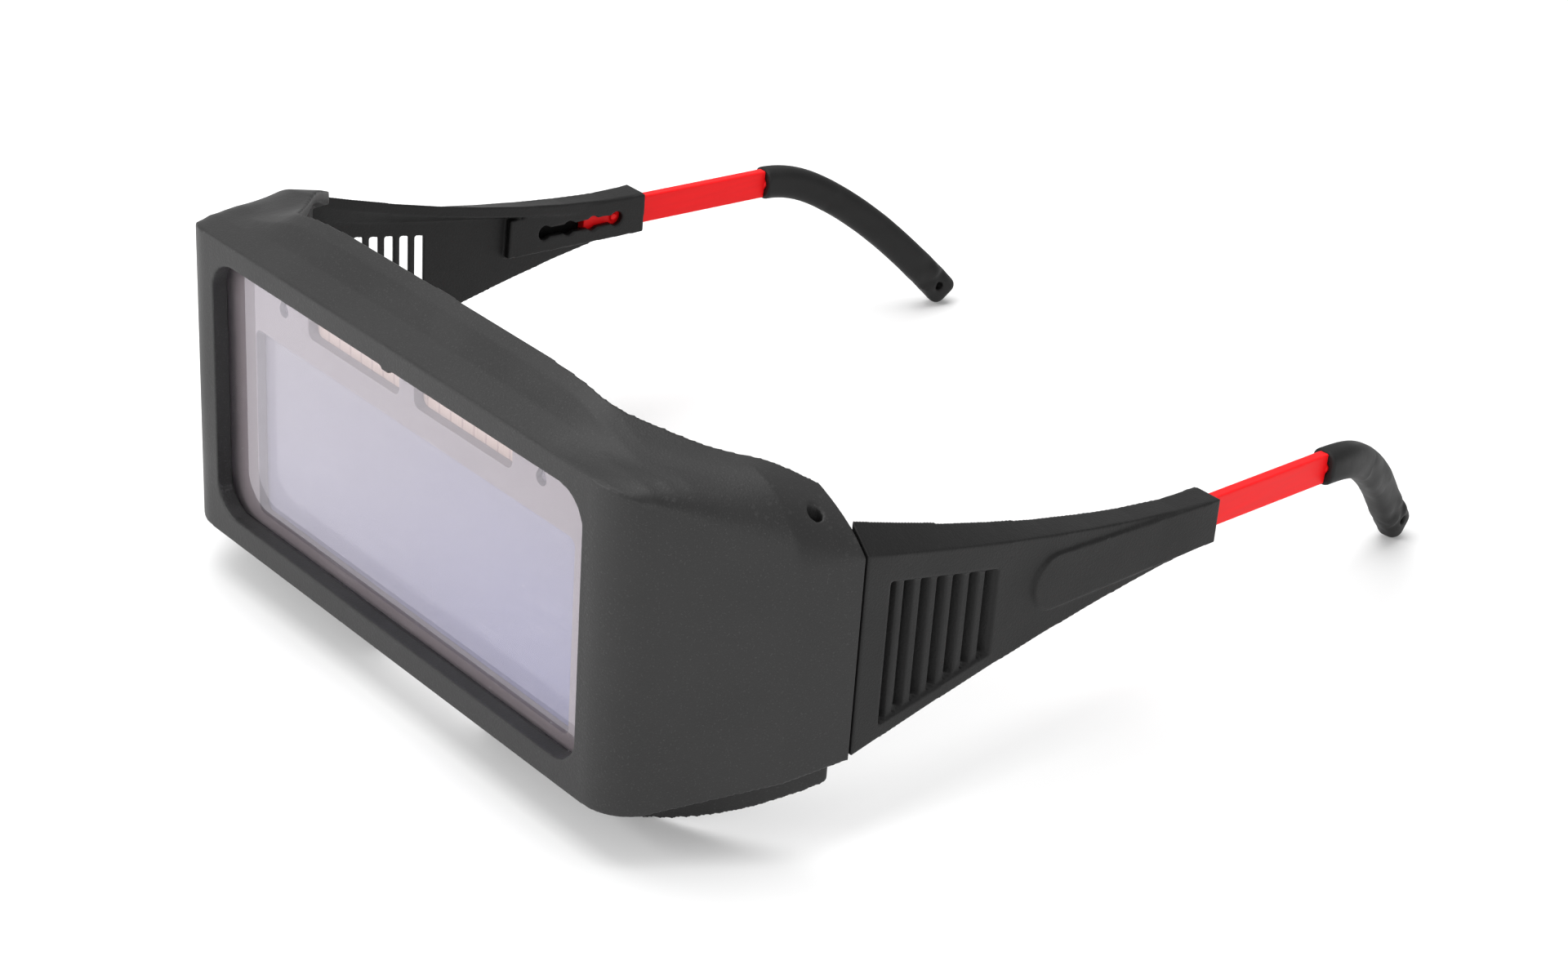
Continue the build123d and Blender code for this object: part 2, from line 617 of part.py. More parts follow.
with BuildPart() as solar_cell_left:
    with BuildSketch(upright(PANE_FRONT)):
        with Locations((SOLAR_MIDDLE_X, SOLAR_MIDDLE_Z)):
            Rectangle(SOLAR_WIDTH + PANE_MARGIN, SOLAR_HEIGHT + PANE_MARGIN / 2)
    extrude(amount=-CELL_THICKNESS / 2)
solar_cell_left.part.label = "solar_cell_left"
export_step(solar_cell_left.part.moved(TO_ORIGIN), "parts/solar_cell_left.step")

with BuildPart() as arc_sensor_left:
    with BuildSketch(upright(BOARD_FRONT)):
        with Locations((SENSOR_OUT, SENSOR_Z)):
            Circle(SENSOR_RADIUS - FIT)
    extrude(amount=BOARD_FRONT - CASSETTE_FRONT - CASSETTE_FRONT_WALL / 3)
    fillet(
        arc_sensor_left.edges().filter_by(GeomType.CIRCLE).sort_by(Axis.Y)[0],
        radius=SENSOR_RADIUS / 2,
    )
arc_sensor_left.part.label = "arc_sensor_left"
export_step(arc_sensor_left.part.moved(TO_ORIGIN), "parts/arc_sensor_left.step")

with BuildPart() as inner_cover_plate:
    add(
        plate(
            CASSETTE_WIDTH - INNER_COVER_TRIM,
            CASSETTE_HEIGHT - INNER_COVER_TRIM,
            SEAT_MIDDLE,
            CORNER_RADIUS / 4,
            INNER_COVER_FRONT,
            COVER_THICKNESS,
        )
    )
inner_cover_plate.part.label = "inner_cover_plate"
export_step(inner_cover_plate.part.moved(TO_ORIGIN), "parts/inner_cover_plate.step")

with BuildPart() as retaining_frame:
    with BuildSketch(upright(RETAINER_FRONT)):
        with Locations((0, SEAT_MIDDLE + RETAINER_TRIM / 2)):
            RectangleRounded(
                CASSETTE_WIDTH, CASSETTE_HEIGHT - RETAINER_TRIM, CORNER_RADIUS / 4
            )
            RectangleRounded(
                CASSETTE_WIDTH - 2 * RETAINER_BORDER,
                CASSETTE_HEIGHT - RETAINER_TRIM - 2 * RETAINER_BORDER,
                CORNER_RADIUS / 3,
                mode=Mode.SUBTRACT,
            )
    extrude(amount=-RETAINER_THICKNESS)
retaining_frame.part.label = "retaining_frame"
export_step(retaining_frame.part.moved(TO_ORIGIN), "parts/retaining_frame.step")


# ================================================================ temples
ARM_START = FRAME_DEPTH + HINGE_CLEARANCE
ARM_LENGTH = ARM_END_DEPTH - ARM_START
ARM_START_X = HALF_FACE + HINGE_EDGE_OUT
ARM_END_X = HALF_FACE + ARM_END_OUT
SLEEVE_TOP = FACE_BASE + SLEEVE_BASE + SLEEVE_HEIGHT


def arm_share(depth):
    """Place along the arm, 0 at the hinge edge and 1 at the sleeve's mouth."""
    return (depth - ARM_START) / ARM_LENGTH


def arm_outer(depth):
    """The arm's outer face."""
    return ARM_START_X + (ARM_END_X - ARM_START_X) * arm_share(depth)


def arm_crease(depth):
    """Height of the crease between the arm's outer face and its top flange."""
    start = FACE_TOP - CREASE_DROP_REAR
    return SLEEVE_TOP + (start - SLEEVE_TOP) * (1 - arm_share(depth)) ** ARM_TOP_CURVE


def arm_bottom(depth):
    """Height of the arm's lower edge."""
    start = FACE_BASE + FLOOR_RISE + ARM_HEEL
    end = FACE_BASE + SLEEVE_BASE
    return end + (start - end) * (1 - arm_share(depth)) ** ARM_BOTTOM_CURVE


def arm_section(depth):
    """Upright cross-section of the arm: a plate with a flange turned inward on top."""
    share = arm_share(depth)
    outer = arm_outer(depth)
    crease = arm_crease(depth)
    inner = outer - ARM_THICKNESS
    flange_x = outer - FLANGE_WIDTH - (SLEEVE_WIDTH - FLANGE_WIDTH) * share
    flange_z = crease + FLANGE_RISE * (1 - share) ** 2
    with BuildSketch(upright(depth)) as section:
        with BuildLine():
            Polyline(
                (outer, arm_bottom(depth)),
                (outer, crease),
                (flange_x, flange_z),
                (flange_x, flange_z - ARM_THICKNESS),
                (inner, crease - ARM_THICKNESS),
                (inner, arm_bottom(depth)),
                close=True,
            )
        make_face()
    return section.sketch


def outer_face_plane():
    """Plane of the left arm's outer face, drawn as (distance from the hinge edge, z)."""
    return Plane(
        origin=(ARM_START_X, ARM_START, 0),
        x_dir=(ARM_END_X - ARM_START_X, ARM_LENGTH, 0),
        z_dir=(ARM_LENGTH, ARM_START_X - ARM_END_X, 0),
    )


def vent_outline(start, end):
    """Part of the vent between two distances from the hinge edge, as a polygon."""
    low = [arm_bottom(ARM_START + d) + VENT_LOWER_MARGIN for d in (start, end)]
    high = [arm_crease(ARM_START + d) - VENT_UPPER_MARGIN for d in (start, end)]
    return [(start, low[0]), (end, low[1]), (end, high[1]), (start, high[0])]


SLIDER_ORIGIN = (
    ARM_END_X - SLIDER_INSET,
    ARM_END_DEPTH,
    FACE_BASE + SLEEVE_BASE + SLEEVE_HEIGHT / 2,
)
SLIDER_DIRECTION = Vector(-SLIDER_TURN_IN, SLIDER_EXPOSED, -SLIDER_DROP).normalized()
SLIDER_TRAVEL = (DETENTS - 1) * DETENT_PITCH


def slider_plane(distance):
    """Plane across the slider, a distance outward from the sleeve's mouth."""
    mouth = Plane(
        origin=SLIDER_ORIGIN,
        x_dir=(SLIDER_EXPOSED, SLIDER_TURN_IN, 0),
        z_dir=SLIDER_DIRECTION,
    )
    return mouth.offset(distance)


def detent_plane():
    """Plane along the slider's axis, facing inward, drawn as (distance inward, z)."""
    mouth = slider_plane(0)
    return Plane(origin=SLIDER_ORIGIN, x_dir=-mouth.z_dir, z_dir=-mouth.x_dir)


def make_temple():
    """The left temple: plate, flange, vent, knuckle, slider housing and detents."""
    first = VENT_START - ARM_START
    length = VENT_PITCH * (VENT_SLOTS - 1) + VENT_SLOT_WIDTH
    with BuildPart() as temple:
        for station in range(ARM_STATIONS + 1):
            add(arm_section(ARM_START + ARM_LENGTH * station / ARM_STATIONS))
        loft(ruled=True)
        # the knuckle and its web
        with BuildSketch(Plane.XY.offset(KNUCKLE_BOTTOM)):
            with Locations((PIN_X, PIN_DEPTH)):
                Circle(KNUCKLE_RADIUS)
            with BuildLine():
                Polyline(
                    (PIN_X - KNUCKLE_RADIUS * 0.9, PIN_DEPTH + 1),
                    (PIN_X + KNUCKLE_RADIUS / 2, PIN_DEPTH + KNUCKLE_RADIUS * 0.8),
                    (ARM_START_X - WALL - 1.2, FRAME_DEPTH - HINGE_CLEARANCE),
                    (ARM_START_X - ARM_THICKNESS / 2, ARM_START + 0.6),
                    (ARM_START_X - ARM_THICKNESS / 2, ARM_START + WEB_LENGTH),
                    (PIN_X + KNUCKLE_RADIUS / 2, ARM_START + WEB_LENGTH * 0.6),
                    close=True,
                )
            make_face()
        extrude(amount=KNUCKLE_HEIGHT)
        with BuildSketch(Plane.XY.offset(KNUCKLE_BOTTOM)):
            with Locations((PIN_X, PIN_DEPTH)):
                Circle(PIN_RADIUS + PIN_RUNNING_CLEARANCE)
        extrude(amount=KNUCKLE_HEIGHT, mode=Mode.SUBTRACT)
        # the vent: a shallow recess, then its slots
        with BuildSketch(outer_face_plane()):
            with BuildLine():
                Polyline(*vent_outline(first, first + length), close=True)
            make_face()
        extrude(amount=-VENT_RECESS, mode=Mode.SUBTRACT)
        with BuildSketch(outer_face_plane()):
            for slot in range(VENT_SLOTS):
                start = first + VENT_PITCH * slot
                with BuildLine():
                    Polyline(*vent_outline(start, start + VENT_SLOT_WIDTH), close=True)
                make_face()
        lean = Vector(-1, -VENT_LEAN, 0).normalized()
        extrude(amount=ARM_THICKNESS * 2, dir=lean, mode=Mode.SUBTRACT)
        # the raised oval towards the sleeve
        relief_start = ARM_LENGTH - BOSS_RELIEF_LENGTH
        relief_radius = SLEEVE_HEIGHT * 0.62
        with BuildSketch(outer_face_plane()):
            with BuildLine():
                Polyline(
                    (relief_start + relief_radius, RELIEF_Z + relief_radius),
                    (ARM_LENGTH, SLEEVE_TOP),
                    (ARM_LENGTH, SLEEVE_TOP - SLEEVE_HEIGHT),
                    (relief_start + relief_radius, RELIEF_Z - relief_radius),
                )
                ThreePointArc(
                    (relief_start + relief_radius, RELIEF_Z - relief_radius),
                    (relief_start, RELIEF_Z),
                    (relief_start + relief_radius, RELIEF_Z + relief_radius),
                )
            make_face()
        extrude(amount=BOSS_RELIEF)
        # the slider's housing, its channel and the detents
        housing_in = SLIDER_THICKNESS / 2 + SLIDER_CLEARANCE + HOUSING_WALL
        housing_out = SLIDER_THICKNESS / 2 + SLIDER_CLEARANCE
        with BuildSketch(slider_plane(-HOUSING_LENGTH)):
            with Locations(((housing_out - housing_in) / 2, 0)):
                Rectangle(housing_out + housing_in, HOUSING_HEIGHT)
        extrude(amount=HOUSING_LENGTH)
        with BuildSketch(slider_plane(HOUSING_WALL - HOUSING_LENGTH)):
            Rectangle(
                SLIDER_THICKNESS + 2 * SLIDER_CLEARANCE, SLIDER_HEIGHT + 2 * SLIDER_CLEARANCE
            )
        extrude(amount=HOUSING_LENGTH * 2, mode=Mode.SUBTRACT)
        with BuildSketch(detent_plane()):
            with Locations((DETENT_END + SLIDER_TRAVEL / 2, 0)):
                SlotCenterToCenter(SLIDER_TRAVEL, DETENT_SLOT_WIDTH)
            for detent in range(DETENTS):
                with Locations((DETENT_END + DETENT_PITCH * detent, 0)):
                    Circle(DETENT_RADIUS)
        extrude(amount=SLEEVE_WIDTH, mode=Mode.SUBTRACT)
        # cut the housing square with the sleeve's mouth
        with BuildSketch(upright(ARM_END_DEPTH)):
            with Locations((ARM_END_X, SLEEVE_TOP)):
                Rectangle(FACE_WIDTH / 2, FACE_HEIGHT)
        extrude(amount=-SLEEVE_WIDTH * 3, mode=Mode.SUBTRACT)
    return temple.part


with BuildPart() as temple_left:
    add(make_temple())
temple_left.part.label = "temple_left"
export_step(temple_left.part.moved(TO_ORIGIN), "parts/temple_left.step")


# ================================================================ sliders and ear hooks
def hook_point(along, fall, turn):
    """A point of the hook's course, as shares of its reach, fall and turn."""
    start = slider_plane(SLIDER_EXPOSED).origin
    return start + Vector(-HOOK_TURN_IN * turn, HOOK_REACH * along, -HOOK_FALL * fall)


def hook_course():
    """The centre line of the hook: straight out of the slider, then down and inward."""
    with BuildLine() as course:
        Spline(
            hook_point(0, 0, 0),
            hook_point(0.36, 0.17, 0.26),
            hook_point(0.62, 0.45, 0.57),
            hook_point(0.87, 0.80, 0.88),
            hook_point(1, 1, 1),
            tangents=[SLIDER_DIRECTION, Vector(-0.22, 0.62, -0.75)],
        )
    return course.edge()


def course_plane(course, share):
    """Plane across the hook's course; its x stays level."""
    along = course % share
    return Plane(origin=course @ share, x_dir=(along.Y, -along.X, 0), z_dir=along)


def cord_hole(course):
    """The cylinder of the small cord hole, across the hook near its tip."""
    across = course_plane(course, HOLE_SHARE)
    side = Plane(origin=across.origin, z_dir=across.x_dir)
    with BuildPart() as hole:
        with BuildSketch(side):
            Circle(CORD_HOLE_RADIUS)
        extrude(amount=HOOK_WIDTH, both=True)
    return hole.part


def make_slider():
    """The left slider: bar, detent peg and the core inside the rubber hook."""
    course = hook_course()
    with BuildPart() as slider:
        with BuildSketch(slider_plane(-SLIDER_INSERTED)):
            Rectangle(SLIDER_THICKNESS, SLIDER_HEIGHT)
        extrude(amount=SLIDER_INSERTED + SLIDER_EXPOSED)
        fillet(slider.edges().filter_by(Axis(SLIDER_ORIGIN, SLIDER_DIRECTION)), radius=0.3)
        with BuildSketch(detent_plane().offset(SLIDER_THICKNESS / 2 - 0.1)):
            with Locations((DETENT_END, 0)):
                Circle(PEG_RADIUS)
        extrude(amount=PEG_LENGTH)
        with BuildLine():
            add(course.trim(0, 1 - CORE_SHORT))
        with BuildSketch(course_plane(course, 0)):
            Circle(CORE_RADIUS)
        sweep()
        add(cord_hole(course), mode=Mode.SUBTRACT)
    return slider.part


def make_hook():
    """The left ear hook: a rubber sleeve moulded round the slider's core."""
    course = hook_course()
    with BuildPart() as hook:
        with BuildLine():
            add(course)
        with BuildSketch(course_plane(course, 0)):
            RectangleRounded(HOOK_WIDTH, HOOK_HEIGHT, HOOK_EDGE_RADIUS)
        sweep()
        tip = hook.faces().sort_by(Axis.Y)[-1]
        fillet(tip.edges(), radius=HOOK_EDGE_RADIUS * 0.8)
        with BuildLine():
            add(course.trim(0, 1 - CORE_SHORT * 0.9))
        with BuildSketch(course_plane(course, 0)):
            Circle(CORE_RADIUS + CORE_CLEARANCE)
        sweep(mode=Mode.SUBTRACT)
        add(cord_hole(course), mode=Mode.SUBTRACT)
    return hook.part


with BuildPart() as slider_left:
    add(make_slider())
slider_left.part.label = "slider_left"
export_step(slider_left.part.moved(TO_ORIGIN), "parts/slider_left.step")

with BuildPart() as ear_hook_left:
    add(make_hook())
ear_hook_left.part.label = "ear_hook_left"
export_step(ear_hook_left.part.moved(TO_ORIGIN), "parts/ear_hook_left.step")


# ================================================================ the right-hand pieces
def export_mirrored(piece, name):
    """Write the right-hand piece, the mirror image of a left-hand one."""
    with BuildPart() as mirrored:
        mirror(piece.part, about=Plane.YZ)
    mirrored.part.label = name
    export_step(mirrored.part.moved(TO_ORIGIN), "parts/" + name + ".step")


export_mirrored(hinge_pin_left, "hinge_pin_right")
export_mirrored(solar_cell_left, "solar_cell_right")
export_mirrored(arc_sensor_left, "arc_sensor_right")
export_mirrored(temple_left, "temple_right")
export_mirrored(slider_left, "slider_right")
export_mirrored(ear_hook_left, "ear_hook_right")
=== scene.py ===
import math

import bpy
from mathutils import Matrix, Vector

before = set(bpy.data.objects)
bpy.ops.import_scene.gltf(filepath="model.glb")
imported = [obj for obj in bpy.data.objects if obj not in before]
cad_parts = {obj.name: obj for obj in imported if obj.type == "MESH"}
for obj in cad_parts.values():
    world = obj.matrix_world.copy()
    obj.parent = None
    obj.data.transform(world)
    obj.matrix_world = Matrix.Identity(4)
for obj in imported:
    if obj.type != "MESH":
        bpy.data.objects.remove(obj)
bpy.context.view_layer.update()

MM = 0.001

# ---------------------------------------------------------------- colours, linear
RED_DEEP, RED_BRIGHT = (0.74, 0.004, 0.006, 1), (0.90, 0.008, 0.011, 1)
LAVENDER_PALE, LAVENDER_DEEP = (0.19, 0.176, 0.195, 1), (0.145, 0.146, 0.245, 1)
CELL_DARK, CELL_LIGHT = (0.10, 0.13, 0.11, 1), (0.14, 0.17, 0.14, 1)
MAUVE_DARK, MAUVE_LIGHT = (0.175, 0.148, 0.152, 1), (0.205, 0.178, 0.184, 1)
PEACH_DARK, PEACH_LIGHT = (0.46, 0.345, 0.28, 1), (0.53, 0.405, 0.34, 1)
PEACH_HAIR, PEACH_GAP = (0.62, 0.52, 0.46, 1), (0.36, 0.25, 0.215, 1)
LENS_DARK, LENS_LIGHT = (0.06, 0.045, 0.06, 1), (0.09, 0.07, 0.09, 1)
MASK_DARK, MASK_LIGHT = (0.012, 0.10, 0.035, 1), (0.02, 0.15, 0.05, 1)
COVER_CLEAR = (0.97, 0.965, 0.975, 1)
COVER_SHINE = (0.95, 0.93, 1.0, 1)
COVER_FILM = (0.85, 0.83, 0.86, 1)
WHITE = (1.0, 1.0, 1.0, 1.0)
PLASTIC_TINT = (1.0, 0.985, 0.99)
FRAME_GREY, TEMPLE_GREY, COMPONENT_GREY = 0.015, 0.0055, 0.01
RUBBER_GREYS = (0.004, 0.011)
STEEL_GREYS = (0.42, 0.55)
FLOOR_GREYS = (0.86, 0.88)

# ---------------------------------------------------------------- noise scales, per metre
MOULD_GRAIN = 2600.0
COMPONENT_GRAIN = 4000.0
RUBBER_GRAIN = 3200.0
SATIN_GRAIN = 1800.0
CASSETTE_GRAIN = 2400.0
MOULD_RIPPLE = 420.0
MOULD_BLOTCH = 60.0
RUBBER_DUST = 140.0
COVER_DUST = 1500.0
FILTER_CLOUD = 14.0
CELL_CLOUD = 30.0
CASSETTE_BLOTCH = 45.0
SOLAR_BLOTCH = 60.0
LENS_BLOTCH = 800.0
FLOOR_BLOTCH = 3.0
BOARD_TRACKS = 260.0
FLOW_STRETCH = (900, 60, 900)
SCRATCH_STRETCH = (90, 90, 1800)
TURNING_STRETCH = (60, 60, 5000)

# ---------------------------------------------------------------- surface, metres
MOULD_RELIEF, RIPPLE_RELIEF = 0.00009, 0.0001
RUBBER_RELIEF, SATIN_RELIEF, TURNING_RELIEF = 0.00005, 0.00004, 0.00003
SOLAR_STRIP = 0.0031  # from one gap between strips to the next
SOLAR_HAIR = 0.00062
FILTER_HALF_WIDTH = 0.045  # the tint deepens over this stretch of the pane
FILTER_TOP, FILTER_BOTTOM = 0.052, 0.016

# ---------------------------------------------------------------- shine
MOULD_SPECULAR, TEMPLE_SPECULAR = 0.33, 0.26
RUBBER_SPECULAR, RED_SPECULAR = 0.28, 0.16
SPECKLE_LIFT, EDGE_HIGHLIGHT_LIFT = 2.6, 2.4  # times the plastic's own grey; the second lifts convex edges as a painted highlight
BLOTCH_SPREAD = 0.14

# ---------------------------------------------------------------- softened edges
FRAME_VOXEL, FRAME_ROUNDS = 0.30 * MM, 8
TEMPLE_VOXEL, TEMPLE_ROUNDS = 0.22 * MM, 5
HOOK_VOXEL, HOOK_ROUNDS = 0.25 * MM, 12
SLIDER_VOXEL, SLIDER_ROUNDS = 0.15 * MM, 4
WELD_DISTANCE = 0.000001

# ---------------------------------------------------------------- studio
LIGHT_TARGET = (0, 0, 0.03)
LIGHTS = (  # name, place, size, power
    ("overhead", (-0.2, 0.0, 1.2), 1.2, 12.0),
    ("front", (-0.25, -1.1, 0.55), 0.7, 12.0),
    ("side", (1.1, -0.5, 0.35), 0.5, 3.0),
)
WORLD_STRENGTH = 0.6
FLOOR_SIZE = 12.0

# ---------------------------------------------------------------- camera
CAMERA_PLACE = Vector((354.2, -343.6, 281.6)) * MM
CAMERA_AZIMUTH = math.radians(48.27)
CAMERA_ELEVATION = math.radians(28.64)
CAMERA_ROLL = math.radians(3.36)
CAMERA_LENS = 69.97
SENSOR_WIDTH = 36.0
CAMERA_SHIFT = (0.0517, -0.0033)
CAMERA_CLIP = 0.01


def add_camera():
    """The camera of the reference view: above the front left corner, rolled slightly."""
    a, e, r = CAMERA_AZIMUTH, CAMERA_ELEVATION, CAMERA_ROLL
    back = Vector(
        (math.sin(a) * math.cos(e), -math.cos(a) * math.cos(e), math.sin(e))
    )
    level = Vector((math.cos(a), math.sin(a), 0))
    upright = back.cross(level)
    right = math.cos(r) * level + math.sin(r) * upright
    up = math.cos(r) * upright - math.sin(r) * level
    data = bpy.data.cameras.new("camera")
    data.lens = CAMERA_LENS
    data.sensor_width = SENSOR_WIDTH
    data.shift_x, data.shift_y = CAMERA_SHIFT
    data.clip_start = CAMERA_CLIP
    camera = bpy.data.objects.new("camera", data)
    bpy.context.collection.objects.link(camera)
    turn = Matrix((right, up, back)).transposed().to_4x4()
    camera.matrix_world = Matrix.Translation(CAMERA_PLACE) @ turn
    bpy.context.scene.camera = camera


# ---------------------------------------------------------------- node helpers
class Nodes:
    """A material's node tree, with short calls for the nodes used here."""

    def __init__(self, name):
        self.material = bpy.data.materials.new(name)
        self.material.use_nodes = True
        self.tree = self.material.node_tree
        self.tree.nodes.clear()
        self.output = self.new("ShaderNodeOutputMaterial")
        self.place = self.new("ShaderNodeTexCoord").outputs["Object"]

    def new(self, kind, **inputs):
        node = self.tree.nodes.new(kind)
        for key, value in inputs.items():
            self.set(node, key.replace("_", " "), value)
        return node

    def set(self, node, key, value):
        socket = node.inputs[key]
        if isinstance(value, bpy.types.NodeSocket):
            self.tree.links.new(value, socket)
        else:
            socket.default_value = value

    def noise(self, scale, detail=3.0, roughness=0.5, where=None):
        node = self.new(
            "ShaderNodeTexNoise", Scale=scale, Detail=detail, Roughness=roughness
        )
        self.tree.links.new(where or self.place, node.inputs["Vector"])
        return node.outputs["Fac"]

    def stretch(self, x, y, z):
        """The object's coordinates, scaled along each axis."""
        node = self.new("ShaderNodeMapping")
        node.inputs["Scale"].default_value = (x, y, z)
        self.tree.links.new(self.place, node.inputs["Vector"])
        return node.outputs["Vector"]

    def ramp(self, value, low, high, start, end):
        """Map a value from low..high to start..end."""
        node = self.new("ShaderNodeMapRange")
        self.set(node, "Value", value)
        for key, number in (
            ("From Min", low),
            ("From Max", high),
            ("To Min", start),
            ("To Max", end),
        ):
            node.inputs[key].default_value = number
        return node.outputs["Result"]

    def mix(self, factor, first, second):
        """Mix two colours."""
        node = self.tree.nodes.new("ShaderNodeMix")
        node.data_type = "RGBA"
        factor_socket, a, b = node.inputs[0], node.inputs[6], node.inputs[7]
        for socket, value in ((factor_socket, factor), (a, first), (b, second)):
            if isinstance(value, bpy.types.NodeSocket):
                self.tree.links.new(value, socket)
            else:
                socket.default_value = value
        return node.outputs[2]

    def math(self, operation, first, second=0.0):
        node = self.tree.nodes.new("ShaderNodeMath")
        node.operation = operation
        for index, value in enumerate((first, second)):
            if isinstance(value, bpy.types.NodeSocket):
                self.tree.links.new(value, node.inputs[index])
            else:
                node.inputs[index].default_value = value
        return node.outputs[0]

    def axis(self, name):
        """One of the object's coordinates, in metres."""
        node = self.new("ShaderNodeSeparateXYZ")
        self.tree.links.new(self.place, node.inputs[0])
        return node.outputs[name]

    def bump(self, height, strength, distance, normal=None):
        node = self.new("ShaderNodeBump", Strength=strength, Distance=distance)
        self.tree.links.new(height, node.inputs["Height"])
        if normal is not None:
            self.tree.links.new(normal, node.inputs["Normal"])
        return node.outputs["Normal"]

    def pointiness(self):
        return self.new("ShaderNodeNewGeometry").outputs["Pointiness"]

    def surface(self, **inputs):
        shader = self.new("ShaderNodeBsdfPrincipled", **inputs)
        self.tree.links.new(shader.outputs[0], self.output.inputs["Surface"])
        return shader


def grey(value, tint=(1.0, 1.0, 1.0)):
    return (value * tint[0], value * tint[1], value * tint[2], 1.0)


# ---------------------------------------------------------------- materials
def textured_plastic(
    name, base, grain=MOULD_GRAIN, roughness=0.5, specular=MOULD_SPECULAR
):
    """Matte moulded plastic: a fine spark-eroded grain, soft blotches, and a painted
    highlight on convex edges.
    """
    n = Nodes(name)
    fine = n.noise(grain, 2.0)
    blotch = n.noise(MOULD_BLOTCH, 4.0)
    # painted highlight: convex edges, found by pointiness, are lightened towards a paler
    # grey
    edge_highlight = n.ramp(n.pointiness(), 0.53, 0.62, 0.0, 0.3)
    colour = n.mix(
        n.ramp(blotch, 0.35, 0.7, 0.0, 1.0),
        grey(base * (1 - BLOTCH_SPREAD), PLASTIC_TINT),
        grey(base * (1 + BLOTCH_SPREAD), PLASTIC_TINT),
    )
    speckle = n.ramp(n.noise(grain * 1.3, 1.0), 0.62, 0.72, 0.0, 0.5)
    colour = n.mix(speckle, colour, grey(base * SPECKLE_LIFT, PLASTIC_TINT))
    # the painted edge highlight is laid over the plastic's colour
    colour = n.mix(edge_highlight, colour, grey(base * EDGE_HIGHLIGHT_LIFT, PLASTIC_TINT))
    rough = n.ramp(blotch, 0.3, 0.7, roughness - 0.05, roughness + 0.06)
    normal = n.bump(fine, 0.5, MOULD_RELIEF)
    normal = n.bump(n.noise(MOULD_RIPPLE, 3.0), 0.12, RIPPLE_RELIEF, normal)
    shader = n.surface(Base_Color=colour, Roughness=rough, Normal=normal)
    shader.inputs["Specular IOR Level"].default_value = specular
    return n.material


def red_plastic():
    """Satin red nylon with faint flow marks along the slider."""
    n = Nodes("slider_red")
    flow = n.noise(1.0, 4.0, where=n.stretch(*FLOW_STRETCH))
    colour = n.mix(flow, RED_DEEP, RED_BRIGHT)
    rough = n.ramp(flow, 0.3, 0.7, 0.38, 0.5)
    shader = n.surface(
        Base_Color=colour,
        Roughness=rough,
        Normal=n.bump(n.noise(SATIN_GRAIN, 2.0), 0.15, SATIN_RELIEF),
    )
    shader.inputs["Specular IOR Level"].default_value = RED_SPECULAR
    return n.material


def soft_rubber():
    """Matte elastomer: fine orange-peel skin, dusty in places."""
    n = Nodes("hook_rubber")
    dust = n.noise(RUBBER_DUST, 5.0, 0.6)
    colour = n.mix(n.ramp(dust, 0.45, 0.75, 0.0, 0.6), *map(grey, RUBBER_GREYS))
    rough = n.ramp(dust, 0.3, 0.7, 0.5, 0.66)
    normal = n.bump(n.noise(RUBBER_GRAIN, 2.0), 0.3, RUBBER_RELIEF)
    shader = n.surface(Base_Color=colour, Roughness=rough, Normal=normal)
    shader.inputs["Specular IOR Level"].default_value = RUBBER_SPECULAR
    return n.material


def clear_cover():
    """Clear polycarbonate: see-through, with a faint haze, fine scratches and dust."""
    n = Nodes("clear_cover")
    scratch = n.noise(1.0, 2.0, where=n.stretch(*SCRATCH_STRETCH))
    haze = n.ramp(scratch, 0.60, 0.75, 0.012, 0.045)
    dust = n.ramp(n.noise(COVER_DUST, 1.0), 0.80, 0.83, 0.0, 0.5)
    clear = n.new("ShaderNodeBsdfTransparent", Color=COVER_CLEAR)
    shine = n.new("ShaderNodeBsdfGlossy", Color=COVER_SHINE, Roughness=0.04)
    film = n.new("ShaderNodeBsdfDiffuse", Color=COVER_FILM)
    facing = n.new("ShaderNodeLayerWeight").outputs["Facing"]
    sheen = n.math("ADD", n.math("MULTIPLY", n.math("POWER", facing, 3.0), 0.8), 0.035)
    glass = n.new("ShaderNodeMixShader")
    for index, socket in enumerate((sheen, clear.outputs[0], shine.outputs[0])):
        n.tree.links.new(socket, glass.inputs[index])
    blend = n.new("ShaderNodeMixShader")
    cover = n.math("ADD", haze, dust)
    for index, socket in enumerate((cover, glass.outputs[0], film.outputs[0])):
        n.tree.links.new(socket, blend.inputs[index])
    n.tree.links.new(blend.outputs[0], n.output.inputs["Surface"])
    return n.material


def filter_glass():
    """Coated filter: bluish lavender, deeper towards the lower corner."""
    n = Nodes("filter_glass")
    across = n.ramp(n.axis("X"), -FILTER_HALF_WIDTH, FILTER_HALF_WIDTH, 0.0, 0.6)
    down = n.ramp(n.axis("Z"), FILTER_TOP, FILTER_BOTTOM, 0.0, 0.5)
    cloud = n.noise(FILTER_CLOUD, 2.0)
    depth = n.math("ADD", across, down)
    depth = n.math("ADD", depth, n.ramp(cloud, 0.3, 0.7, -0.08, 0.08))
    colour = n.mix(depth, LAVENDER_PALE, LAVENDER_DEEP)
    shader = n.surface(Base_Color=colour, Roughness=0.12)
    shader.inputs["Coat Weight"].default_value = 0.15
    shader.inputs["Coat Roughness"].default_value = 0.05
    return n.material


def cell_glass():
    """Liquid crystal cell between its polarisers."""
    n = Nodes("lcd_glass")
    cloud = n.noise(CELL_CLOUD, 3.0)
    colour = n.mix(cloud, CELL_DARK, CELL_LIGHT)
    n.surface(Base_Color=colour, Roughness=n.ramp(cloud, 0.3, 0.7, 0.06, 0.12))
    return n.material


